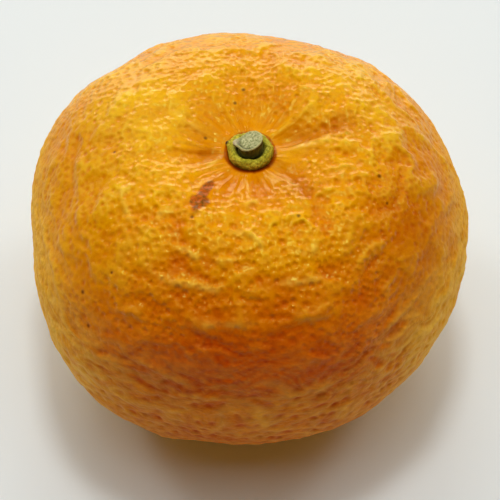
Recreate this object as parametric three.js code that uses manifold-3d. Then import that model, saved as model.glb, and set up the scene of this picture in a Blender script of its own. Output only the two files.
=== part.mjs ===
// A yuzu as picked: a squat, uneven citrus fruit that stands on a small flat spot, with the
// green calyx in the hollow at its top and the cut stub of its stem in the calyx.
// Millimetres, +Z up. The origin is on the surface that the fruit stands on, under its middle.
import * as THREE from "three";
import { mergeVertices } from "three/addons/utils/BufferGeometryUtils.js";
import Module from "manifold-3d";

const wasm = await Module();
wasm.setup();

// The fruit's driving dimensions.
const HALF_WIDTH = 34; // girth, left to right
const HALF_DEPTH = 33.8; // girth, front to back
const CROWN = 24.8; // girth up to the top, with no hollow taken out
const BELLY = 26.4; // girth down to the base, with no flat taken off
const FLAT_CUT = 0.9; // how much of the base the flat spot takes off
const SQUARENESS = 2.2; // 2 is an ellipse, more is boxier
const STEM_SHIFT = 0.8; // how far the stem stands right of the girth's middle
const GIRTH = BELLY - FLAT_CUT; // height of the girth above the floor

// The girth's plan departs from an ellipse by these waves, each swelling where it points.
const PLAN_WAVES = [
  { count: 3, swell: 0.52, turn: 5 },
  { count: 4, swell: 0.46, turn: 45 },
  { count: 5, swell: 0.18, turn: 12 },
  { count: 6, swell: 0.19, turn: -16 },
];

// Broad swellings and dents of the rind. The turn is degrees round the stem from the right,
// the drop is degrees down from the stem, and the spread is how wide each one is in degrees.
const SWELLINGS = [
  { turn: 150, drop: 52, spread: 20, height: 0.9 }, // left back shoulder
  { turn: 132, drop: 68, spread: 9, height: -0.9 }, // flat below it
  { turn: 116, drop: 60, spread: 10, height: 0.35 }, // corner beside the flat
  { turn: 90, drop: 36, spread: 13, height: -0.8 }, // dip behind the stem
  { turn: 52, drop: 42, spread: 18, height: 0.7 }, // right back shoulder
  { turn: 60, drop: 62, spread: 11, height: -0.4 }, // slack below it
  { turn: 215, drop: 50, spread: 22, height: 0.5 }, // left front shoulder
  { turn: 181, drop: 84, spread: 8, height: -0.4 }, // dent in the left side
  { turn: 268, drop: 112, spread: 10, height: 0.25 }, // low on the front
  { turn: 308, drop: 106, spread: 14, height: 0.3 }, // low on the right front
  { turn: 345, drop: 62, spread: 16, height: 0.5 }, // right side
  { turn: 2, drop: 82, spread: 6, height: 0.45 }, // knob in the right side
  { turn: 16, drop: 76, spread: 9, height: -0.25 }, // dent behind it
];

// The hollow that the stem stands in, and the furrows that run out of it.
const HOLLOW_DEPTH = 5.2;
const HOLLOW_RADIUS = 11.5;
const FURROWS = [
  { turn: 20, depth: 1.1, spread: 9, reach: 10 },
  { turn: 317, depth: 0.6, spread: 8, reach: 8 },
  { turn: 282, depth: 0.3, spread: 8, reach: 7 },
  { turn: 248, depth: 0.35, spread: 8, reach: 7 },
  { turn: 190, depth: 0.6, spread: 10, reach: 8 },
  { turn: 158, depth: 0.35, spread: 8, reach: 9 },
  { turn: 127, depth: 0.5, spread: 9, reach: 9 },
  { turn: 95, depth: 0.55, spread: 10, reach: 10 },
  { turn: 60, depth: 0.45, spread: 8, reach: 9 },
];

// The scar that the flower left, a dimple in the middle of the flat spot.
const SCAR_DEPTH = 0.9;
const SCAR_RADIUS = 3.6;

// The calyx, a thick ring that sits in a round seat in the floor of the hollow.
const CALYX_RADIUS = 3.4;
const CALYX_HEIGHT = 2.3;
const CALYX_SUNK = 0.5; // how far its foot is below the hollow's floor
const CALYX_WALL = 1.15; // from its outside to the well that the stub stands in
const CALYX_WELL = 1.0; // depth of that well
const CALYX_LOBES = 5;
const LOBE_SWELL = 0.1;
const FOOT_ROUND = 0.5; // how far the ring's foot is rounded in
const SEAT_HEADROOM = 6; // how high above the calyx's foot the cut for the seat goes

// The stub of the stem.
const STUB_RADIUS = 1.85;
const STUB_RISE = 1.25; // above the calyx's rim, at the middle of the cut
const STUB_SLANT = 22; // degrees that the cut rises towards the right
const TORN_TURN = 172; // where a strip of bark is torn outwards
const TORN_OUT = 0.85;
const TORN_SPREAD = 20;

const GAP = 0.3; // between neighbouring pieces

// How finely each surface is divided.
const FRUIT_RINGS = 44;
const FRUIT_SECTORS = 72;
const POLE_CROWDING = 0.16; // how much closer the rings are near the stem and the base
const CALYX_SECTORS = 60;
const LIP_STEPS = 8;
const STUB_SECTORS = 48;
const STUB_LEVELS = 5;
const SEAT_SECTORS = 36;

const rad = THREE.MathUtils.degToRad;
const deg = THREE.MathUtils.radToDeg;
const bell = (x) => Math.exp(-x * x);
const degreesBetween = (a, b) => THREE.MathUtils.euclideanModulo(a - b + 180, 360) - 180;

// Half-width of the girth's plan in the direction phi.
function planRadius(phi) {
  const ellipse = 1 / Math.hypot(Math.cos(phi) / HALF_WIDTH, Math.sin(phi) / HALF_DEPTH);
  return PLAN_WAVES.reduce(
    (sum, wave) => sum + wave.swell * Math.cos(wave.count * (phi - rad(wave.turn))),
    ellipse,
  );
}

// A direction from the middle of the girth, theta down from the stem and phi round it.
function direction(theta, phi) {
  const across = Math.sin(theta);
  return new THREE.Vector3(across * Math.cos(phi), across * Math.sin(phi), Math.cos(theta));
}

function swellingAt(theta, phi) {
  const here = direction(theta, phi);
  return SWELLINGS.reduce((sum, s) => {
    const apart = deg(here.angleTo(direction(rad(s.drop), rad(s.turn))));
    return sum + s.height * bell(apart / s.spread);
  }, 0);
}

// How deep the hollow and its furrows are, this far from the stem.
function hollowAt(distance, phi) {
  return FURROWS.reduce((sum, f) => {
    const along = distance / f.reach;
    const across = degreesBetween(deg(phi), f.turn) / f.spread;
    return sum + f.depth * bell(across) * along * Math.exp(1 - along * along);
  }, HOLLOW_DEPTH * bell(distance / HOLLOW_RADIUS));
}

function scarAt(distance) {
  return SCAR_DEPTH * Math.max(0, 1 - (distance / SCAR_RADIUS) ** 2) ** 2;
}

// The point of the rind in the direction of theta and phi.
function rindPoint(theta, phi) {
  const half = Math.cos(theta) > 0 ? CROWN : BELLY;
  const across = (Math.sin(theta) / planRadius(phi)) ** SQUARENESS;
  const up = (Math.abs(Math.cos(theta)) / half) ** SQUARENESS;
  const reach = (across + up) ** (-1 / SQUARENESS) + swellingAt(theta, phi);
  const distance = reach * Math.sin(theta);
  const rise = reach * Math.cos(theta);
  const shift = STEM_SHIFT * Math.max(0, rise / CROWN) ** 2;
  const height = rise > 0
    ? GIRTH + rise - hollowAt(distance, phi)
    : Math.max(0, GIRTH + rise) + scarAt(distance);
  return new THREE.Vector3(distance * Math.cos(phi) + shift, distance * Math.sin(phi), height);
}

// A closed surface from rings of points between two poles. pointAt(ring, phi) gives a point;
// the faces point out where the rings run downwards.
function closedSurface(pointAt, rings, sectors) {
  const position = [];
  const index = [];
  const add = (p) => position.push(p.x, p.y, p.z) / 3 - 1;
  const first = add(pointAt(0, 0));
  const rows = [];
  for (let i = 1; i < rings; i++) {
    rows.push(Array.from({ length: sectors }, (_, j) => add(pointAt(i, rad((360 * j) / sectors)))));
  }
  const last = add(pointAt(rings, 0));
  for (let j = 0; j < sectors; j++) {
    const k = (j + 1) % sectors;
    index.push(first, rows[0][j], rows[0][k]);
    for (let i = 0; i + 1 < rows.length; i++) {
      index.push(rows[i][j], rows[i + 1][j], rows[i + 1][k]);
      index.push(rows[i][j], rows[i + 1][k], rows[i][k]);
    }
    index.push(last, rows.at(-1)[k], rows.at(-1)[j]);
  }
  const geometry = new THREE.BufferGeometry();
  geometry.setAttribute("position", new THREE.Float32BufferAttribute(position, 3));
  geometry.setIndex(index);
  geometry.computeVertexNormals();
  return geometry;
}

function solidFrom(geometry) {
  const bare = new THREE.BufferGeometry();
  bare.setAttribute("position", geometry.getAttribute("position"));
  bare.setIndex(geometry.index);
  const merged = mergeVertices(bare);
  const vertProperties = merged.getAttribute("position").array;
  const triVerts = new Uint32Array(merged.index.array);
  return new wasm.Manifold(new wasm.Mesh({ numProp: 3, vertProperties, triVerts }));
}

function geometryFrom(solid) {
  const mesh = solid.getMesh();
  const geometry = new THREE.BufferGeometry();
  geometry.setAttribute("position", new THREE.BufferAttribute(mesh.vertProperties, 3));
  geometry.setIndex(new THREE.BufferAttribute(mesh.triVerts, 1));
  geometry.computeVertexNormals();
  return geometry;
}

// Heights above the floor of the calyx's foot and of the well in it.
const calyxFoot = rindPoint(0, 0).z - CALYX_SUNK;
const wellFloor = calyxFoot + CALYX_HEIGHT - CALYX_WELL;

function fruit() {
  const dropOf = (ring) => {
    const share = ring / FRUIT_RINGS;
    return Math.PI * share - POLE_CROWDING * Math.sin(2 * Math.PI * share);
  };
  const pointAt = (ring, phi) => rindPoint(dropOf(ring), phi);
  const whole = closedSurface(pointAt, FRUIT_RINGS, FRUIT_SECTORS);
  const seatRadius = CALYX_RADIUS + LOBE_SWELL + GAP;
  const seatHeight = GAP + SEAT_HEADROOM;
  const seat = new THREE.CylinderGeometry(seatRadius, seatRadius, seatHeight, SEAT_SECTORS);
  seat.rotateX(Math.PI / 2);
  seat.translate(STEM_SHIFT, 0, calyxFoot - GAP + seatHeight / 2);
  return geometryFrom(solidFrom(whole).subtract(solidFrom(seat)));
}

// The calyx, from the middle of its well, over its rounded lip and down to its foot.
function calyx() {
  const lip = CALYX_WALL / 2;
  const well = CALYX_HEIGHT - CALYX_WELL;
  const profile = [[0, well], [CALYX_RADIUS - CALYX_WALL, well]];
  for (let i = LIP_STEPS; i >= 0; i--) {
    const turn = (Math.PI * i) / LIP_STEPS;
    const radius = CALYX_RADIUS - lip + lip * Math.cos(turn);
    profile.push([radius, CALYX_HEIGHT - lip + lip * Math.sin(turn)]);
  }
  profile.push([CALYX_RADIUS, FOOT_ROUND], [CALYX_RADIUS - FOOT_ROUND, 0], [0, 0]);
  const pointAt = (ring, phi) => {
    const [radius, height] = profile[ring];
    const lobed = radius * (1 + (LOBE_SWELL / CALYX_RADIUS) * Math.cos(CALYX_LOBES * phi));
    return new THREE.Vector3(lobed * Math.cos(phi), lobed * Math.sin(phi), height);
  };
  return closedSurface(pointAt, profile.length - 1, CALYX_SECTORS);
}

// The stub, from the middle of its slanting cut down its side to its foot. The strip of bark
// stands out level, just clear of the calyx's lip.
function stemStub() {
  const rise = CALYX_WELL - GAP + STUB_RISE;
  const clearOfLip = CALYX_WELL;
  const profile = [[0, rise], [STUB_RADIUS / 2, rise]];
  for (let i = STUB_LEVELS; i >= 0; i--) profile.push([STUB_RADIUS, (rise * i) / STUB_LEVELS]);
  profile.push([0, 0]);
  const pointAt = (ring, phi) => {
    const [radius, height] = profile[ring];
    const across = degreesBetween(deg(phi), TORN_TURN) / TORN_SPREAD;
    const torn = TORN_OUT * bell(across) * THREE.MathUtils.smoothstep(height, clearOfLip, rise);
    const reach = radius * (1 + torn / STUB_RADIUS);
    const slant = Math.tan(rad(STUB_SLANT)) * radius * Math.cos(phi) * (height / rise);
    return new THREE.Vector3(reach * Math.cos(phi), reach * Math.sin(phi), height + slant);
  };
  return closedSurface(pointAt, profile.length - 1, STUB_SECTORS);
}

function piece(name, geometry, colour, roughness) {
  const material = new THREE.MeshStandardMaterial({ color: colour, roughness, metalness: 0 });
  const mesh = new THREE.Mesh(geometry, material);
  mesh.name = name;
  return mesh;
}

const rind = piece("fruit", fruit(), 0xe89a18, 0.4);
const button = piece("calyx", calyx(), 0x9a9a1e, 0.7);
button.position.set(STEM_SHIFT, 0, calyxFoot);
const stub = piece("stem_stub", stemStub(), 0x8f9a66, 0.85);
stub.position.set(STEM_SHIFT, 0, wellFloor + GAP);

const yuzu = new THREE.Group();
yuzu.add(rind, button, stub);

// The waves and swellings leave the fruit a little off centre, so the whole moves sideways.
const middle = new THREE.Box3().setFromObject(yuzu).getCenter(new THREE.Vector3());
yuzu.position.set(-middle.x, -middle.y, 0);

export default yuzu;
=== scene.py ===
"""The looks of a yuzu that stands on a pale floor: its pitted, puckered rind, the green calyx
in the hollow at its top and the cut stub of its stem. Lengths are in millimetres until a mesh
is made. A place on the rind is a turn, in degrees round the fruit from the right, and a drop,
in degrees down from straight above, both seen from the core, the middle of its girth."""

import itertools
import math

import bpy
import numpy as np
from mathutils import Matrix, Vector
from mathutils.bvhtree import BVHTree
from mathutils.kdtree import KDTree


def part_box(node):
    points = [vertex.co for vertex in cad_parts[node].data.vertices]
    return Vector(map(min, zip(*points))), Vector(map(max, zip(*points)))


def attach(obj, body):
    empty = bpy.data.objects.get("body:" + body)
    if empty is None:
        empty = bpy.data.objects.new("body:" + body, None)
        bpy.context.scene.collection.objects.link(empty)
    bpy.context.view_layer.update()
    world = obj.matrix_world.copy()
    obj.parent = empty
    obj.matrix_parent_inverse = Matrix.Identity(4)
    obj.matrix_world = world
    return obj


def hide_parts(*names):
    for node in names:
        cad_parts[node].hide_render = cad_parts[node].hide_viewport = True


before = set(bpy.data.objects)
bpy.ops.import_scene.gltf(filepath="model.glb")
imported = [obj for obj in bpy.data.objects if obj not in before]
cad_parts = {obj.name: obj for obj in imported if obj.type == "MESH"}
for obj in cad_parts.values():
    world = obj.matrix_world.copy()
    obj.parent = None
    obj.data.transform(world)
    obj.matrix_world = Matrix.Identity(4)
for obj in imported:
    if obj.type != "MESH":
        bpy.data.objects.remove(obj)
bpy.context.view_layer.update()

MM = 0.001

FRUIT_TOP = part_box("fruit")[1][2] / MM
CALYX_LOW, CALYX_HIGH = (np.array(corner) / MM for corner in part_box("calyx"))
STUB_LOW, STUB_HIGH = (np.array(corner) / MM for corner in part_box("stem_stub"))

GIRTH_SHARE = 0.532  # how high the core is, over the fruit's height
CORE = np.array([0, 0, GIRTH_SHARE * FRUIT_TOP])
STEM = (CALYX_LOW + CALYX_HIGH)[:2] / 2  # where the stem's axis is in plan
CALYX_RADIUS = (CALYX_HIGH - CALYX_LOW)[1] / 2
STUB_RADIUS = (STUB_HIGH - STUB_LOW)[1] / 2


# ---------------------------------------------------------------- numbers


def bell(x):
    """1 at 0, and a smooth fall to 0 on both sides."""
    return np.exp(-x * x)


def ease(x, low, high):
    """0 below low, 1 above high, and a smooth rise between them."""
    share = np.clip((x - low) / (high - low), 0, 1)
    return share * share * (3 - 2 * share)


class Noise:
    """Seeded gradient noise: about -1 to 1, with one wave in a unit of length or two."""

    def __init__(self, seed):
        rng = np.random.default_rng(seed)
        self.order = rng.permutation(256)
        arrows = rng.normal(size=(256, 3))
        self.arrows = arrows / np.linalg.norm(arrows, axis=1)[:, None]

    def __call__(self, points):
        """The noise at each point."""
        cell = np.floor(points).astype(int)
        inside = points - cell
        fade = inside**3 * (inside * (inside * 6 - 15) + 10)
        total = np.zeros(len(points))
        for corner in itertools.product((0, 1), repeat=3):
            x, y, z = (cell + corner).T & 255
            pick = self.order[(self.order[(self.order[x] + y) & 255] + z) & 255]
            weight = np.where(corner, fade, 1 - fade).prod(axis=1)
            total += weight * ((inside - corner) * self.arrows[pick]).sum(axis=1)
        return 1.7 * total  # brings the peaks to about 1


def layered(points, size, seed, layers=3, falloff=0.5):
    """Noise of waves of one size, with smaller and weaker ones laid over it."""
    total = np.zeros(len(points))
    for layer in range(layers):
        total += falloff**layer * Noise(seed + layer)(points * 2**layer / size)
    return total


def crests(points, size, seed):
    """Noise that stands in narrow winding ridges: 1 on them, about 0 between them."""
    return np.maximum(0, 1 - 3 * np.abs(Noise(seed)(points / size))) ** 1.5


# ---------------------------------------------------------------- meshes


def cube_sphere(steps, lean):
    """The grid of a cube blown up to a sphere and leant upwards, which makes it finer at the
    top: unit directions, quads that face out, and for each corner of each quad its place in a
    flat chart of three by two squares."""
    line = np.tan(np.linspace(-math.pi / 4, math.pi / 4, steps + 1))
    across, up = np.meshgrid(line, line, indexing="ij")
    sides = []
    for axis, sign in itertools.product(range(3), (-1, 1)):
        side = np.empty((steps + 1, steps + 1, 3))
        side[..., axis] = sign
        side[..., (axis + 1) % 3] = across * sign
        side[..., (axis + 2) % 3] = up
        sides.append(side.reshape(-1, 3))
    _, first, same = np.unique(
        np.round(np.concatenate(sides), 6), axis=0, return_index=True, return_inverse=True
    )
    points = np.concatenate(sides)[first]
    same = same.reshape(6, steps + 1, steps + 1)
    quads = np.stack([same[:, :-1, :-1], same[:, 1:, :-1], same[:, 1:, 1:], same[:, :-1, 1:]], -1)
    margin = 0.006  # keeps the squares of the chart apart
    share = margin + (1 - 2 * margin) * np.arange(steps + 1) / steps
    u, v = np.meshgrid(share, share, indexing="ij")
    places = []
    for number in range(6):
        square = np.stack([(u + number % 3) / 3, (v + number // 3) / 2], -1)
        places.append(
            np.stack([square[:-1, :-1], square[1:, :-1], square[1:, 1:], square[:-1, 1:]], 2)
        )
    directions = points / np.linalg.norm(points, axis=1)[:, None] + [0, 0, lean]
    directions /= np.linalg.norm(directions, axis=1)[:, None]
    return directions, quads.reshape(-1, 4), np.stack(places).reshape(-1, 2)


def edges_of(quads):
    """Each pair of points that share an edge, once."""
    pairs = np.concatenate([quads[:, [i, (i + 1) % 4]] for i in range(4)])
    return np.unique(np.sort(pairs, axis=1), axis=0)


def smoothed(values, edges, rounds, free=None):
    """Values averaged over neighbouring points, some rounds over. Only the free ones change."""
    a, b = edges.T
    count = np.bincount(edges.ravel(), minlength=len(values))
    for _ in range(rounds):
        total = np.bincount(a, values[b], len(values)) + np.bincount(b, values[a], len(values))
        values = total / count if free is None else np.where(free, total / count, values)
    return values


def normals_of(points, quads):
    """The direction out of the surface at each point."""
    a, b, c, d = (points[quads[:, i]] for i in range(4))
    faces = np.cross(c - a, d - b)
    total = np.zeros_like(points)
    for i in range(4):
        for axis in range(3):
            total[:, axis] += np.bincount(quads[:, i], faces[:, axis], len(points))
    return total / np.linalg.norm(total, axis=1)[:, None]


def turned(profile, sectors):
    """The closed surface that a profile, from the axis over the outside and back to the axis,
    makes when it turns round the axis."""
    turn = np.linspace(0, 2 * math.pi, sectors, endpoint=False)
    radius, height = (np.repeat(profile[1:-1, i], sectors) for i in range(2))
    around = np.tile(turn, len(profile) - 2)
    points = np.column_stack([radius * np.cos(around), radius * np.sin(around), height])
    points = np.vstack([[0, 0, profile[0, 1]], points, [0, 0, profile[-1, 1]]])
    last = len(points) - 1
    faces = []
    for j in range(sectors):
        k = (j + 1) % sectors
        faces.append((0, 1 + j, 1 + k))
        faces.append((last, last - sectors + k, last - sectors + j))
        for ring in range(1, last - sectors, sectors):
            faces.append((ring + j, ring + sectors + j, ring + sectors + k, ring + k))
    return points, faces


def resampled(corners, count, soften):
    """Evenly spaced points along a broken line, with its corners rounded off."""
    corners = np.array(corners, float)
    length = np.concatenate([[0], np.cumsum(np.linalg.norm(np.diff(corners, axis=0), axis=1))])
    share = np.linspace(0, length[-1], count)
    line = np.column_stack([np.interp(share, length, corners[:, i]) for i in range(2)])
    for _ in range(soften):
        line[1:-1] = (line[:-2] + 2 * line[1:-1] + line[2:]) / 4
    return line


def make_mesh(name, points, faces, fields, face_fields=(), chart=None):
    """A smooth object from points in millimetres. Fields are numbers or places that its
    material reads, one for each point or each face. A chart lays its faces out flat."""
    mesh = bpy.data.meshes.new(name)
    mesh.from_pydata((points * MM).tolist(), [], [list(face) for face in faces])
    mesh.polygons.foreach_set("use_smooth", np.ones(len(mesh.polygons), bool))
    for domain, group in (("POINT", fields), ("FACE", face_fields)):
        for field, values in dict(group).items():
            kind, entry = ("FLOAT", "value") if values.ndim == 1 else ("FLOAT_VECTOR", "vector")
            attribute = mesh.attributes.new(field, kind, domain)
            attribute.data.foreach_set(entry, values.astype(np.float32).ravel())
    if chart is not None:
        layer = mesh.uv_layers.new(name="OFBake")
        layer.data.foreach_set("uv", chart.astype(np.float32).ravel())
    mesh.update()
    piece = bpy.data.objects.new(name, mesh)
    bpy.context.scene.collection.objects.link(piece)
    return piece


# ---------------------------------------------------------------- rind

GRID_STEPS = 126  # squares along each side of the cube
GRID_LEAN = 0.25  # how far the cube's points are drawn upwards
SEAT_RADIUS = CALYX_RADIUS + 0.7  # past the rim of the calyx's round seat in the solid
SEAT_DEPTH = 1.4  # how far the rind goes down under the calyx
SEAT_ROUNDS = 600  # rounds of smoothing that fill the seat
FACET_ROUNDS = 16  # rounds that smooth the solid's facets away
SWELL_ROUNDS = 120  # rounds that tell the rind's waves from its whole shape
BELT_RADIUS = 22  # of the circle that the belts of waves run round
DROP_LENGTH = 0.52  # millimetres down the fruit for a degree of drop
GLAND_SPACING = 1.32  # at the left, where the glands are farthest apart
GLAND_DEPTH = 0.12  # of the pit in the mesh, for a gland whose own depth is 1
GLAND_SEED = 7

# Folds and furrows of the rind, each along a few places: how wide it is and how far it
# stands out, in millimetres. A furrow's is below 0.
CREASES = [
    # round the stem
    ([(9, 11), (12, 24), (15, 34), (16, 39)], 1.1, -0.35),
    ([(357, 14), (2, 21), (3, 27), (6, 29)], 1.0, 0.3),
    ([(321, 13), (314, 28), (311, 34)], 0.6, -0.3),
    ([(318, 14), (313, 23), (314, 27)], 0.6, 0.3),
    ([(308, 13), (306, 22), (304, 30)], 0.7, 0.15),
    ([(287, 13), (287, 19)], 0.5, 0.2),
    ([(251, 13), (252, 18)], 0.5, 0.2),
    ([(192, 21), (188, 16), (170, 10)], 0.8, -0.25),
    ([(210, 19), (203, 15), (191, 11)], 1.0, 0.3),
    ([(156, 18), (153, 26), (150, 34)], 0.6, 0.25),
    ([(148, 20), (146, 29), (145, 36)], 0.5, 0.2),
    # the back and the right side
    ([(41, 37), (34, 42), (29, 46)], 0.7, 0.25),
    ([(64, 39), (54, 39), (51, 42)], 0.7, 0.2),
    ([(13, 56), (11, 61), (8, 66), (4, 69)], 0.7, 0.3),
    ([(345, 75), (340, 77), (333, 83)], 0.6, 0.25),
    ([(339, 67), (332, 74), (331, 83)], 0.6, 0.25),
    ([(351, 84), (349, 79), (342, 75)], 0.9, -0.35),
    # the front
    ([(236, 53), (242, 54), (249, 53), (259, 53), (263, 51)], 0.7, 0.4),
    ([(239, 46), (244, 45), (249, 46), (252, 44)], 0.7, 0.35),
    ([(254, 45), (260, 46), (266, 44)], 0.6, 0.3),
    ([(258, 37), (271, 37), (276, 40), (276, 43)], 0.6, 0.3),
    ([(280, 51), (288, 52), (299, 53)], 0.7, 0.3),
    ([(289, 44), (295, 46), (301, 43)], 0.6, 0.3),
    ([(264, 28), (274, 26), (279, 27)], 0.6, 0.25),
    ([(226, 42), (225, 39), (230, 36)], 0.6, 0.3),
    ([(203, 41), (204, 44), (216, 46), (221, 46)], 0.7, 0.3),
    ([(250, 63), (261, 62), (274, 61)], 1.0, 0.3),
    # the left side
    ([(166, 53), (170, 48), (171, 45), (169, 38)], 1.4, 0.15),
    ([(159, 31), (159, 27), (156, 21)], 0.6, 0.2),
    ([(189, 72), (197, 72), (206, 71), (217, 72)], 0.8, 0.25),
    ([(198, 66), (207, 66), (216, 68), (226, 72)], 0.7, 0.2),
    # low on the front
    ([(239, 76), (244, 76), (250, 78), (256, 79)], 0.5, 0.25),
    ([(246, 83), (254, 83), (262, 83), (269, 84)], 0.5, 0.25),
    ([(266, 73), (270, 73), (275, 72)], 0.5, 0.2),
    ([(274, 83), (281, 83), (290, 82), (297, 80)], 0.5, 0.25),
    ([(278, 79), (285, 78)], 0.5, 0.2),
    ([(306, 74), (312, 73), (320, 72), (326, 71)], 0.6, 0.25),
]

# The dark scar, as two strokes and how wide each is.
SCAR = [
    ([(230, 20), (234, 26), (237, 31), (240, 36)], 0.7),
    ([(231, 32), (235, 31), (239, 30), (243, 29)], 0.95),
]

# Glands that have gone brown: at the left, the front, the right and the back.
SPECKS = [
    (181, 44), (226, 60), (220, 68), (225, 73),
    (240, 35), (297, 34),
    (335, 49), (344, 44), (332, 85),
    (96, 29), (99, 24), (159, 16),
]


def fruit_surface(directions, edges):
    """The solid's surface in these directions from the core, with its facets smoothed away and
    the calyx's seat filled in."""
    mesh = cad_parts["fruit"].data
    corners = [vertex.co / MM for vertex in mesh.vertices]
    tree = BVHTree.FromPolygons(corners, [tuple(p.vertices) for p in mesh.polygons])
    reach = np.array([tree.ray_cast(Vector(CORE), Vector(d))[3] for d in directions])
    points = CORE + reach[:, None] * directions
    near = np.hypot(*(points[:, :2] - STEM).T) < SEAT_RADIUS
    seat = near & (directions[:, 2] > 0)
    beside = ~seat & (directions[:, 2] > 0.97)  # the hollow's floor round the seat
    reach[seat] = reach[beside].min()
    reach = smoothed(reach, edges, SEAT_ROUNDS, seat)
    reach = smoothed(reach, edges, FACET_ROUNDS)
    return CORE + reach[:, None] * directions


def place(turn, drop):
    """The direction of a place on the rind."""
    turn, drop = math.radians(turn), math.radians(drop)
    out = math.sin(drop)
    return np.array([out * math.cos(turn), out * math.sin(turn), math.cos(drop)])


class Rind:
    """The rind's surface, and where each of its points is."""

    def __init__(self):
        self.directions, self.quads, self.chart = cube_sphere(GRID_STEPS, GRID_LEAN)
        self.edges = edges_of(self.quads)
        self.points = fruit_surface(self.directions, self.edges)
        self.normals = normals_of(self.points, self.quads)
        offset = self.points[:, :2] - STEM
        self.turn = np.arctan2(offset[:, 1], offset[:, 0])  # in radians round the stem
        self.out = np.hypot(*offset.T)  # distance from the stem's axis
        self.drop = np.degrees(np.arccos(self.directions[:, 2]))
        self.top = ease(self.directions[:, 2], -0.1, 0.1)  # 1 on the upper half

    def spot(self, turn, drop):
        """The point of the surface at a place."""
        return self.points[(self.directions @ place(turn, drop)).argmax()]

    def along(self, path, width):
        """1 on a path through some places, falling to 0 beside it and towards its ends."""
        spots = [self.spot(*one) for one in path]
        nearness = np.zeros(len(self.points))
        for number, (start, end) in enumerate(zip(spots, spots[1:])):
            run = end - start
            share = np.clip(((self.points - start) @ run) / (run @ run), 0, 1)
            gap = np.linalg.norm(self.points - start - share[:, None] * run, axis=1)
            whole = (number + share) / (len(spots) - 1)
            taper = ease(whole, -0.05, 0.3) * (1 - ease(whole, 0.6, 1.05))
            nearness = np.maximum(nearness, bell(gap / width) * taper)
        return nearness

    def belt(self, slimness=1.7, bend=2):
        """Places for noise whose waves are longer round the fruit than down it."""
        wheel = BELT_RADIUS * np.column_stack([np.cos(self.turn), np.sin(self.turn)])
        winding = bend * layered(self.points, 9, 41, 2)
        return np.column_stack([wheel, slimness * (self.drop * DROP_LENGTH + winding)])

    def rays(self):
        """Places for noise whose waves run out from the stem."""
        wheel = 6 * np.column_stack([np.cos(self.turn), np.sin(self.turn)])
        return np.column_stack([wheel, 0.12 * self.out + 0.3 * Noise(33)(self.points / 4)])


def pleats(rind):
    """Ribs that run out of the hollow like the pleats of a purse."""
    ribs = np.zeros(len(rind.points))
    for count, height, seed in ((7, 0.16, 31), (16, 0.1, 32)):
        wheel = np.column_stack([np.cos(rind.turn), np.sin(rind.turn), rind.out / 60]) * count
        ribs += height * Noise(seed)(wheel)
    return ribs * rind.top * ease(rind.out, 3, 5) * (1 - ease(rind.out, 8, 17))


def threads(rind):
    """Thin ridges that run round the fruit."""
    belt = rind.belt(3, 3)
    return np.maximum(crests(belt, 6, 47), 0.8 * crests(belt, 4, 49))


def puckers(rind, taken):
    """Soft waves and winding ridges, weak near the stem, in some patches and where the named
    creases take their place. Low on the fruit the ridges give way to thin threads."""
    belt = rind.belt()
    lower = ease(rind.drop, 58, 72)
    waves = 0.36 * Noise(42)(belt / 7) + 0.3 * Noise(43)(belt / 3.6)
    waves += 0.1 * Noise(48)(rind.points / 2.2)
    ridges = 0.3 * crests(belt, 7, 44) + 0.24 * crests(belt, 4, 45)
    ridges = ridges * (1 - 0.6 * lower) + 0.14 * lower * threads(rind)
    patches = ease(Noise(46)(rind.points / 13), -0.6, 0.4) * (1 - 0.7 * taken)
    relief = waves * (1 - 0.3 * lower) + ridges * patches
    return relief * (1 - rind.top * (1 - ease(rind.out, 8, 15)))


def nearest(seeds, points):
    """For each point, the number of its nearest seed and the distance to it."""
    tree = KDTree(len(seeds))
    for number, seed in enumerate(seeds):
        tree.insert(seed, number)
    tree.balance()
    found = [tree.find(point)[1:] for point in points]
    numbers, distances = zip(*found)
    return np.array(numbers), np.array(distances)


def gland_density(rind, bare, bottom):
    """How many glands each point of the grid stands for: more on the right, and few in the
    hollow and at the bottom."""
    a, b, c, d = (rind.points[rind.quads[:, i]] for i in range(4))
    face_area = np.linalg.norm(np.cross(c - a, d - b), axis=1) / 2
    area = sum(np.bincount(rind.quads[:, i], face_area, len(rind.points)) for i in range(4)) / 4
    right = ease(rind.points[:, 0] + 0.3 * rind.points[:, 1], -15, 30)
    spacing = GLAND_SPACING * (1 - 0.15 * right)
    room = 0.866 * spacing**2  # what a gland takes where they lie in even rows
    return area / room * (1 - 0.85 * bare) * (1 - 0.7 * bottom)


def even_spots(rind, density, rng):
    """The grid's points nearest to seeds that are drawn by density and then moved apart."""
    count = int(density.sum())
    chance = density / density.sum()
    seeds = rind.points[rng.choice(len(density), count, replace=False, p=chance)]
    for _ in range(4):
        owner, _ = nearest(seeds, rind.points)
        weight = np.bincount(owner, density, count) + 1e-9
        middle = [np.bincount(owner, density * x, count) / weight for x in rind.points.T]
        seeds = seeds + 0.85 * (np.column_stack(middle) - seeds)
    spots, _ = nearest(rind.points, seeds)
    return spots


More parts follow.
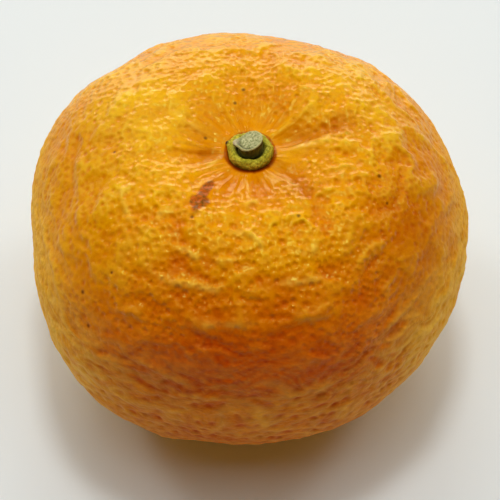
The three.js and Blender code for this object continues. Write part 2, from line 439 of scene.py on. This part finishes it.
class Glands:
    """The oil glands in the rind, each at a point of its grid, with a pit over it."""

    def __init__(self, rind, rng):
        bare = rind.top * (1 - ease(rind.out, 5, 10))
        waxy = rind.along([(165, 20), (162, 30), (160, 40)], 9)  # the left shoulder
        bottom = ease(rind.drop, 68, 84)
        lower = ease(rind.drop, 60, 90)
        self.spots = even_spots(rind, gland_density(rind, bare, bottom), rng)
        count = len(self.spots)
        self.widths = rng.uniform(0.38, 0.6, count) * (1 + 0.3 * bottom[self.spots])
        self.depths = rng.triangular(0.15, 0.7, 1.2, count)
        self.depths *= ((1 + 1.2 * lower) * (1 - 0.8 * bare) * (1 - 0.4 * waxy))[self.spots]
        self.dark = np.zeros(count)
        middles = rind.points[self.spots]
        specks, _ = nearest(middles, [rind.spot(*one) for one in SPECKS])
        self.dark[specks] = 1
        owner, distance = nearest(middles, rind.points)
        self.pit = self.depths[owner] * bell(distance / self.widths[owner])
        corners = [rind.points[rind.quads[:, i]] for i in range(4)]
        self.face_owner, _ = nearest(middles, sum(corners) / 4)

    def face_fields(self, points):
        """For each face its gland's place, width and depth, with the rind's final points."""
        owner = self.face_owner
        return {
            "gland_place": points[self.spots[owner]] * MM,
            "gland_width": self.widths[owner] * MM,
            "gland_depth": self.depths[owner],
            "gland_dark": self.dark[owner],
        }


def painted_creases(rind):
    """Where the rind's material follows the named creases: broken painted highlights on the high
    ones and painted shade in the clefts."""
    high = [rind.along(path, 0.42) for path, _, height in CREASES if height > 0.22]
    deep = [rind.along(path, 2) for path, _, height in CREASES if height < 0]
    broken = ease(Noise(54)(rind.points / 1.1), -0.9, 0.6)
    weaker = 1 - 0.5 * ease(rind.drop, 56, 66)
    return {"crest_highlight": np.max(high, axis=0) * broken * weaker, "cleft_shade": np.max(deep, axis=0)}


def rind_fields(rind, swell):
    """What the rind's material reads at each point: mostly how much there is of something,
    from 0 to 1."""
    right, back, _ = rind.directions.T
    level = rind.points[:, 2] / FRUIT_TOP
    front = ease(-back, 0.4, 0.95)
    # The side where the painted shade is strongest.
    shade_side = ease(0.25 * right - back, 0, 0.7)  # the front half and some of the right
    side = ease(np.abs(right), 0.45, 0.85)
    facing = ease(-np.sin(rind.turn), -0.2, 0.9)  # in front of the stem
    # How wide the painted shade round the calyx is, wider in front of the stem.
    calyx_ring_shade_width = 0.7 + 0.5 * facing
    scar = np.max([rind.along(path, width) for path, width in SCAR], axis=0)
    return {
        # broad changes of colour and gloss, painted shade and painted light among them
        "shade_side": shade_side,
        # Lower down, most on the front half: painted shade there, and bands of mottling.
        "low": (1 - ease(level, 0.8, 1.04)) * (0.2 + 0.8 * shade_side),
        "dull": 1 - ease(level, 0.64, 0.94),
        # Painted light: paler low on the sides and the back, where light from the sides falls.
        "painted_low_light": (1 - ease(level, 0.5, 0.95)) * (1 - front),
        # Painted shade: darker and redder at the bottom of the front.
        "painted_sole_shade": (1 - ease(level, 0.25, 0.55)) * ease(-back, 0.15, 0.7),
        # Painted shade: darker and redder low on the front.
        "painted_front_shade": front * bell((level - 0.72) / 0.13),
        # Painted shade: a darker belt above the middle, where light from above grazes.
        "girth": bell((level - 0.83) / 0.1) * (1 - 0.7 * front) * shade_side,
        # The flanks: duller, with shallower pits, and painted shade that darkens them.
        "flank": side * ease(level, 0.5, 0.75) * ease(-back, -0.6, 0),
        "gold": np.maximum(
            rind.along([(165, 20), (160, 40), (155, 65)], 9),
            rind.along([(75, 45), (50, 50), (25, 48), (0, 40)], 6),
        ),
        # what follows the relief: -1 in a dip to 1 on a swelling, and the ridges and clefts, where
        # highlights, sheen and shade are painted
        "swell": np.clip(swell / 0.3, -1, 1),
        # Painted sheen on the thin threads low on the fruit, stronger on the sides.
        "thread_sheen": threads(rind) * (1 - ease(level, 0.6, 0.85)) * (0.4 + 0.6 * side),
        **painted_creases(rind),
        "scar": scar * ease(layered(rind.points, 1.4, 51), -1.6, -0.3),
        # round the stem, with painted shade in the crevice at the calyx, darkest in front of it
        "calyx_ring_shade": rind.top * (1 - ease(rind.out, CALYX_RADIUS, CALYX_RADIUS + calyx_ring_shade_width)),
        "shade": facing,
        "smooth": rind.top * (1 - ease(rind.out, 6, 13)),
        # places for noise
        "belt": rind.belt(),
        "rays": rind.rays(),
    }


def shaped_rind():
    rind = Rind()
    glands = Glands(rind, np.random.default_rng(GLAND_SEED))
    broad = 0.22 * Noise(11)(rind.points / 14) + 0.14 * Noise(12)(rind.points / 7)
    folds = sum(height * rind.along(path, width) for path, width, height in CREASES)
    taken = np.max([rind.along(path, 3) for path, _, _ in CREASES], axis=0)
    relief = broad + puckers(rind, taken) + pleats(rind) + folds
    relief = relief * ease(rind.points[:, 2], 0.2, 3) + 0.03 * Noise(13)(rind.points / 1.1)
    into_seat = rind.top * (1 - ease(rind.out, CALYX_RADIUS - 0.5, CALYX_RADIUS))
    collar = rind.top * bell((rind.out - CALYX_RADIUS - 1) / 0.9)

    points = rind.points + relief[:, None] * rind.normals
    reach = np.linalg.norm(points - CORE, axis=1)
    swell = reach - smoothed(reach, rind.edges, SWELL_ROUNDS)
    points -= (GLAND_DEPTH * glands.pit)[:, None] * rind.normals
    points[:, 2] += 0.25 * collar - SEAT_DEPTH * into_seat
    points[:, 2] = np.maximum(points[:, 2], 0)
    fields = rind_fields(rind, swell)
    return make_mesh("rind", points, rind.quads, fields, glands.face_fields(points), rind.chart)


# ---------------------------------------------------------------- calyx and stub

CALYX_WALL = 1.3
WELL_DEPTH = 0.9
LUMP_ROOM = 0.1  # left under the solid's top for the calyx's lumps
TIP_TURN = 158  # where the calyx's dried tip is, in degrees from the right
STUB_RISE = 1.95  # to the middle of its cut
STUB_SLANT = math.radians(22)
TORN_TURN = 172  # where the stub's bark is torn, in degrees from the right


def shaped_calyx():
    height = CALYX_HIGH[2] - CALYX_LOW[2] - LUMP_ROOM
    outer = CALYX_RADIUS
    inner = outer - CALYX_WALL
    well = height - WELL_DEPTH
    corners = [
        (0, well),
        (inner - 0.1, well),
        (inner + 0.05, height - 0.3),
        (inner + 0.4, height),
        (outer - 0.45, height - 0.1),
        (outer, height - 0.7),
        (outer - 0.05, 0.6),
        (outer - 0.6, 0),
        (0, 0),
    ]
    points, faces = turned(resampled(corners, 80, 6), 160)
    turn = np.arctan2(points[:, 1], points[:, 0])
    radius = np.hypot(points[:, 0], points[:, 1])
    rim = ease(radius, inner - 0.2, inner + 0.25)
    lumps = 0.13 * Noise(61)(points / 1.5) + 0.07 * layered(points, 0.6, 62, 2)
    push = rim * (lumps + 0.07 * np.cos(5 * turn))
    points[:, :2] *= (1 + push / np.maximum(radius, 0.5))[:, None]
    points[:, 2] += rim * (0.12 * Noise(63)(points / 1.2) + 0.05 * Noise(64)(points / 0.45))
    tip = bell((np.degrees(turn) - TIP_TURN) / 8) * ease(radius, outer - 0.3, outer)
    tip *= ease(points[:, 2], 0.6, 1.4)
    points[:, :2] += np.outer(tip, [-0.55, 0.22])
    # Painted shade in the well between the calyx's rim and the stub.
    fields = {"tip": tip, "well_shade": 1 - rim}
    return make_mesh("calyx_button", points + [*STEM, CALYX_LOW[2]], faces, fields)


def shaped_stub():
    radius = STUB_RADIUS
    corners = [
        (0, STUB_RISE),
        (radius - 0.1, STUB_RISE + 0.03),
        (radius, STUB_RISE - 0.08),
        (radius * 0.97, STUB_RISE * 0.5),
        (radius, 0),
        (0, 0),
    ]
    points, faces = turned(resampled(corners, 70, 2), 130)
    turn = np.arctan2(points[:, 1], points[:, 0])
    out = np.hypot(points[:, 0], points[:, 1])
    share = points[:, 2] / STUB_RISE
    cut = ease(share, 0.93, 0.99)
    rim = cut * bell((out - radius + 0.16) / 0.13)
    groove = cut * bell((out - radius + 0.42) / 0.12) * ease(-np.cos(turn - 0.7), 0, 0.8)
    torn = bell(((np.degrees(turn) - TORN_TURN + 180) % 360 - 180) / 20)
    torn = torn * ease(points[:, 2], 1.0, STUB_RISE) * ease(out, 0.5 * radius, radius)
    points[:, 2] += math.tan(STUB_SLANT) * points[:, 0] * share
    wheel = 5 * np.column_stack([np.cos(turn), np.sin(turn), share / 5])
    bark = 0.06 * Noise(71)(wheel) * ease(out, 0.6 * radius, radius)
    points[:, :2] *= (1 + (0.85 * torn + bark) / radius)[:, None]
    points[:, 2] += cut * (0.08 * layered(points, 0.55, 72) + 0.06 * rim - 0.12 * groove)
    fields = {"cut": cut, "rim": rim, "groove": groove, "torn": torn}
    return make_mesh("stub", points + [*STEM, STUB_LOW[2] - points[:, 2].min()], faces, fields)


# ---------------------------------------------------------------- materials


def colour(red, green, blue):
    """A colour written as a screen shows it, 0 to 255, as the linear numbers that Blender uses."""
    parts = [x / 255 for x in (red, green, blue)]
    linear = [x / 12.92 if x <= 0.04045 else ((x + 0.055) / 1.055) ** 2.4 for x in parts]
    return (*linear, 1)


class Paint:
    """A material's nodes, built up one layer at a time. Settings are for its shader."""

    def __init__(self, name, **settings):
        self.material = bpy.data.materials.new(name)
        self.material.use_nodes = True
        self.nodes = self.material.node_tree.nodes
        self.links = self.material.node_tree.links
        self.shader = self.nodes["Principled BSDF"]
        for socket, value in settings.items():
            self.shader.inputs[socket.replace("_", " ")].default_value = value
        self.where = self.nodes.new("ShaderNodeTexCoord").outputs["Object"]

    def put(self, socket, value):
        """Gives a socket a number, a colour or what comes out of another one."""
        if isinstance(value, bpy.types.NodeSocket):
            self.links.new(value, socket)
        else:
            socket.default_value = value

    def field(self, name, output="Fac"):
        node = self.nodes.new("ShaderNodeAttribute")
        node.attribute_name = name
        return node.outputs[output]

    def noise(self, size, detail=2.0, low=0.0, high=1.0, field=None):
        """Noise of waves of a size in millimetres, spread from low to high, on the object or
        on places that a field holds."""
        node = self.nodes.new("ShaderNodeTexNoise")
        node.inputs["Detail"].default_value = detail
        node.inputs["Scale"].default_value = 1 / (size if field else size * MM)
        where = self.field(field, "Vector") if field else self.where
        self.links.new(where, node.inputs["Vector"])
        return self.spread(node.outputs["Fac"], 0.3, 0.7, low, high)

    def spread(self, value, low, high, to_low=0.0, to_high=1.0):
        """Turns low to high into the new ends, with a smooth rise and nothing past them."""
        node = self.nodes.new("ShaderNodeMapRange")
        node.interpolation_type = "SMOOTHSTEP"
        for socket, number in zip(list(node.inputs)[:5], (value, low, high, to_low, to_high)):
            self.put(socket, number)
        return node.outputs["Result"]

    def sums(self, operation, a, b):
        node = self.nodes.new("ShaderNodeMath")
        node.operation = operation
        self.put(node.inputs[0], a)
        self.put(node.inputs[1], b)
        return node.outputs[0]

    def times(self, a, b):
        return self.sums("MULTIPLY", a, b)

    def distance(self, a, b):
        node = self.nodes.new("ShaderNodeVectorMath")
        node.operation = "DISTANCE"
        self.put(node.inputs[0], a)
        self.put(node.inputs[1], b)
        return node.outputs["Value"]

    def mix(self, share, a, b, blend="MIX"):
        node = self.nodes.new("ShaderNodeMix")
        node.data_type = "RGBA"
        node.blend_type = blend
        self.put(node.inputs[0], share)
        self.put(node.inputs[6], a)
        self.put(node.inputs[7], b)
        return node.outputs[2]

    def stain(self, base, share, red, green):
        """Takes the base's red down to one share of what it is, and its green and blue to
        another."""
        return self.mix(share, base, (red, green, green, 1), "MULTIPLY")

    def finish(self, base, roughness, height=None):
        """The material with this colour, roughness and relief, whose height is in
        millimetres."""
        self.put(self.shader.inputs["Base Color"], base)
        self.put(self.shader.inputs["Roughness"], roughness)
        if height is not None:
            bump = self.nodes.new("ShaderNodeBump")
            bump.inputs["Distance"].default_value = MM
            self.links.new(height, bump.inputs["Height"])
            self.links.new(bump.outputs["Normal"], self.shader.inputs["Normal"])
        return self.material


def gland_marks(paint):
    """How far each spot is from its gland's middle, over that gland's width, and how deep in
    the gland's pit it is."""
    span = paint.distance(paint.where, paint.field("gland_place", "Vector"))
    span = paint.sums("DIVIDE", span, paint.field("gland_width"))
    return span, paint.times(paint.spread(span, 0, 1.6, 1, 0), paint.field("gland_depth"))


def stained(paint, base, pit):
    """The base with its oranger and browner patches, from broad ones to the pits, and its painted
    shade.
    """
    low = paint.field("low")
    dull = paint.field("dull")
    flank = paint.field("flank")
    shade_side = paint.spread(paint.field("shade_side"), 0, 1, 0.35, 1)
    # Painted shade in the dips of the relief, most on the shade side.
    dip_shade = paint.times(paint.spread(paint.field("swell"), -1, 0, 0.8, 0), shade_side)
    bands = paint.times(paint.noise(1.8, 3, field="belt"), low)
    fibres = paint.times(paint.noise(0.6, 4, field="belt"), dull)
    spokes = paint.times(paint.noise(1, 3, -0.4, 1.4, field="rays"), paint.field("smooth"))
    strength = paint.sums("ADD", paint.spread(dull, 0, 1, 0.5, 0.65), paint.times(flank, 0.3))
    for share, red, green in (
        (paint.noise(6, 2, 0, 0.5), 0.94, 0.74),
        (paint.noise(2.2, 3, 0, 0.5), 0.95, 0.8),
        (paint.noise(0.5, 2, 0, 0.4), 0.88, 0.7),
        # painted shade in dips
        (dip_shade, 0.88, 0.56),
        # painted shade in the clefts
        (paint.field("cleft_shade"), 0.82, 0.74),
        # painted shade: deeper orange lower down
        (low, 0.98, 0.72),
        # painted shade in a belt above the middle
        (paint.field("girth"), 0.88, 0.88),
        # painted shade low on the front
        (paint.field("painted_front_shade"), 0.84, 0.46),
        # painted shade at the bottom of the front
        (paint.field("painted_sole_shade"), 0.84, 0.52),
        # painted shade on the flanks
        (flank, 0.9, 0.88),
        (bands, 0.84, 0.64),
        (fibres, 0.84, 0.7),
        (spokes, 0.93, 0.84),
        (paint.times(pit, strength), 0.84, 0.46),
    ):
        base = paint.stain(base, share, red, green)
    return base


def rind_relief(paint, pit):
    """Relief finer than the mesh: wrinkles, a grain where the rind is dull, streaks round the
    hollow, and the gland pits' sharp edges, weaker on the flanks."""
    dull = paint.field("dull")
    smooth = paint.field("smooth")
    wrinkles = paint.times(paint.noise(1.4, 1, 0, 0.06), paint.spread(smooth, 0, 1, 1, 0.2))
    grain = paint.times(paint.noise(0.6, 4, 0, 0.08), dull)
    streaks = paint.times(paint.noise(0.5, 2, 0, 0.09, field="rays"), smooth)
    streaks = paint.times(streaks, paint.noise(5, 1, -0.3, 1))
    pits = paint.times(pit, paint.spread(dull, 0, 1, -0.17, -0.08))
    pits = paint.times(pits, paint.spread(paint.field("flank"), 0, 1, 1, 0.4))
    height = paint.noise(0.35, 2, 0, 0.014)
    for relief in (wrinkles, grain, streaks, pits):
        height = paint.sums("ADD", height, relief)
    return height


def rind_material():
    paint = Paint(
        "rind_wax",
        Specular_IOR_Level=0.25,
        Specular_Tint=(0.55, 1, 0.2, 1),
        Sheen_Weight=0.2,
        Sheen_Roughness=0.35,
        Sheen_Tint=(1, 0.65, 0.01, 1),
    )
    span, pit = gland_marks(paint)

    base = paint.mix(paint.noise(15), colour(240, 162, 0), colour(248, 182, 2))
    base = paint.mix(paint.times(paint.field("gold"), 0.45), base, colour(252, 210, 44))
    # Painted highlight: paler on the swellings of the relief.
    base = paint.mix(paint.spread(paint.field("swell"), 0, 1, 0, 0.6), base, colour(252, 206, 34))
    base = stained(paint, base, pit)
    for field, share, pale in (
        # painted light, low on the sides and the back
        ("painted_low_light", 0.7, colour(255, 186, 10)),
        # painted sheen on the threads
        ("thread_sheen", 0.7, colour(255, 208, 84)),
        # painted highlight on the crests
        ("crest_highlight", 0.4, colour(255, 212, 84)),
    ):
        base = paint.mix(paint.times(paint.field(field), share), base, pale)
    dark = paint.times(paint.spread(span, 0.1, 0.8, 0.8, 0), paint.field("gland_dark"))
    base = paint.mix(dark, base, colour(90, 30, 0))
    # Painted shade in the crevice round the calyx, darkest in front of the stem.
    calyx_ring_shade = paint.field("calyx_ring_shade")
    base = paint.mix(paint.spread(calyx_ring_shade, 0.05, 0.6), base, colour(184, 84, 0))
    shade = paint.times(paint.spread(calyx_ring_shade, 0.35, 0.9), paint.field("shade"))
    base = paint.mix(shade, base, colour(96, 26, 0))
    scar = paint.spread(paint.field("scar"), 0.1, 0.5, 0, 0.85)
    base = paint.mix(scar, base, paint.mix(paint.noise(0.5), colour(84, 20, 2), colour(196, 74, 4)))

    rough = paint.noise(1.2, 2, 0.1, 0.22)
    for share, more in (
        (scar, 0.3),
        (dark, 0.3),
        (paint.field("dull"), 0.42),
        (paint.field("smooth"), -0.03),
        (paint.field("flank"), 0.14),
    ):
        rough = paint.sums("ADD", rough, paint.times(share, more))
    return paint.finish(base, rough, rind_relief(paint, pit))


def calyx_material():
    paint = Paint("calyx_skin", Specular_IOR_Level=0.2)
    base = paint.mix(paint.noise(1.8, 3), colour(190, 180, 30), colour(226, 206, 60))
    base = paint.mix(paint.noise(0.35, 3, -0.1, 0.8), base, colour(138, 134, 18))
    # painted shade in the well round the stub
    base = paint.mix(paint.times(paint.field("well_shade"), 0.8), base, colour(60, 56, 8))
    base = paint.mix(paint.spread(paint.field("tip"), 0.2, 0.7), base, colour(80, 34, 14))
    return paint.finish(base, 0.65, paint.noise(0.35, 4, 0, 0.14))


def stub_material():
    paint = Paint("stub_wood")
    side = paint.mix(paint.noise(0.6, 3), colour(58, 60, 14), colour(98, 100, 26))
    face = paint.mix(paint.noise(0.35, 4), colour(132, 138, 76), colour(214, 210, 154))
    base = paint.mix(paint.field("cut"), side, face)
    base = paint.mix(paint.times(paint.field("rim"), 0.7), base, colour(200, 196, 124))
    base = paint.mix(paint.times(paint.field("groove"), 0.8), base, colour(70, 66, 26))
    torn = paint.spread(paint.field("torn"), 0.3, 0.9, 0, 0.7)
    base = paint.mix(torn, base, colour(206, 184, 150))
    return paint.finish(base, 0.8, paint.noise(0.2, 4, 0, 0.06))


# ---------------------------------------------------------------- stage

CAMERA_DISTANCE = 350
CAMERA_RISE = 53  # degrees above the horizon
FOCAL_SHARE = 4.53  # focal length over the picture's width
AIM_RIGHT = 0.17  # how far beside the core the camera aims
AIM_DOWN = 2.53  # how far below it
FLOOR_REACH = 3000
LAMP_AIM = Vector((0, 0, 0.02))  # near the core, in metres
FLOOR_COLOUR = colour(230, 236, 236)
COOL = (0.97, 1, 1.03)
WARM = (1, 0.6, 0.16)


def make_camera():
    """A camera with a long lens that looks down on the fruit from the front."""
    rise = math.radians(CAMERA_RISE)
    back = Vector((0, -math.cos(rise), math.sin(rise)))
    right = Vector((1, 0, 0))
    up = back.cross(right)
    target = Vector(CORE) + AIM_RIGHT * right - AIM_DOWN * up
    data = bpy.data.cameras.new("camera")
    data.sensor_width = 36
    data.lens = FOCAL_SHARE * data.sensor_width
    data.clip_start = 0.01
    camera = bpy.data.objects.new("camera", data)
    camera.location = (Vector(CORE) + CAMERA_DISTANCE * back) * MM
    looks = target * MM - camera.location
    camera.rotation_euler = looks.to_track_quat("-Z", "Y").to_euler()
    bpy.context.scene.collection.objects.link(camera)
    bpy.context.scene.camera = camera


def make_lamp(name, location, size, glow, tone):
    """A flat lamp that faces the fruit, with its place and size in metres. Glow is how many
    times brighter than white it is."""
    data = bpy.data.lights.new(name, "AREA")
    data.color = tone
    data.shape = "RECTANGLE"
    data.size, data.size_y = size
    data.energy = glow * math.pi * size[0] * size[1]
    lamp = bpy.data.objects.new(name, data)
    lamp.location = location
    looks = LAMP_AIM - lamp.location
    lamp.rotation_euler = looks.to_track_quat("-Z", "Y").to_euler()
    bpy.context.scene.collection.objects.link(lamp)


def make_floor():
    points = np.array([(-1, -1, 0), (1, -1, 0), (1, 1, 0), (-1, 1, 0)]) * FLOOR_REACH
    floor = make_mesh("floor", points, [(0, 1, 2, 3)], {})
    paint = Paint("floor_paper", Specular_IOR_Level=0.1)
    floor.data.materials.append(paint.finish(FLOOR_COLOUR, 0.9))


def make_world():
    """A dim warm fill that looks pale to the camera."""
    world = bpy.data.worlds.new("sky")
    world.use_nodes = True
    nodes = world.node_tree.nodes
    links = world.node_tree.links
    fill = nodes["Background"]
    fill.inputs["Color"].default_value = (*WARM, 1)
    fill.inputs["Strength"].default_value = 0.07
    pale = nodes.new("ShaderNodeBackground")
    pale.inputs["Color"].default_value = FLOOR_COLOUR
    both = nodes.new("ShaderNodeMixShader")
    links.new(nodes.new("ShaderNodeLightPath").outputs["Is Camera Ray"], both.inputs[0])
    links.new(fill.outputs[0], both.inputs[1])
    links.new(pale.outputs[0], both.inputs[2])
    links.new(both.outputs[0], nodes["World Output"].inputs["Surface"])
    bpy.context.scene.world = world


# ---------------------------------------------------------------- scene

for piece, node, slot, material in (
    (shaped_rind(), "fruit", "rind", rind_material()),
    (shaped_calyx(), "calyx", "calyx", calyx_material()),
    (shaped_stub(), "stem_stub", "stem", stub_material()),
):
    piece.data.materials.append(material)
    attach(piece, "root")
    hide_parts(node)

make_floor()
make_camera()
make_world()
for lamp in (
    ("skylight", (0, 0.12, 1), (0.17, 0.17), 30, COOL),
    ("ceiling", (0, 0.1, 1), (1.1, 1.1), 1.3, COOL),
    ("high window", (-0.1, 0.9, 0.5), (0.4, 0.2), 7, COOL),
    ("back window", (0, 1.2, 0.2), (1.6, 0.12), 8, COOL),
    ("left window", (-0.6, 0.4, 0.6), (0.2, 0.2), 9, COOL),
    ("right window", (0.6, 0.4, 0.6), (0.2, 0.2), 7.5, COOL),
    ("left wall", (-1, -0.3, 0.35), (0.5, 0.5), 1.1, WARM),
    ("right wall", (1, -0.3, 0.35), (0.5, 0.5), 1.3, WARM),
):
    make_lamp(*lamp)
bpy.context.scene.view_settings.view_transform = "Standard"
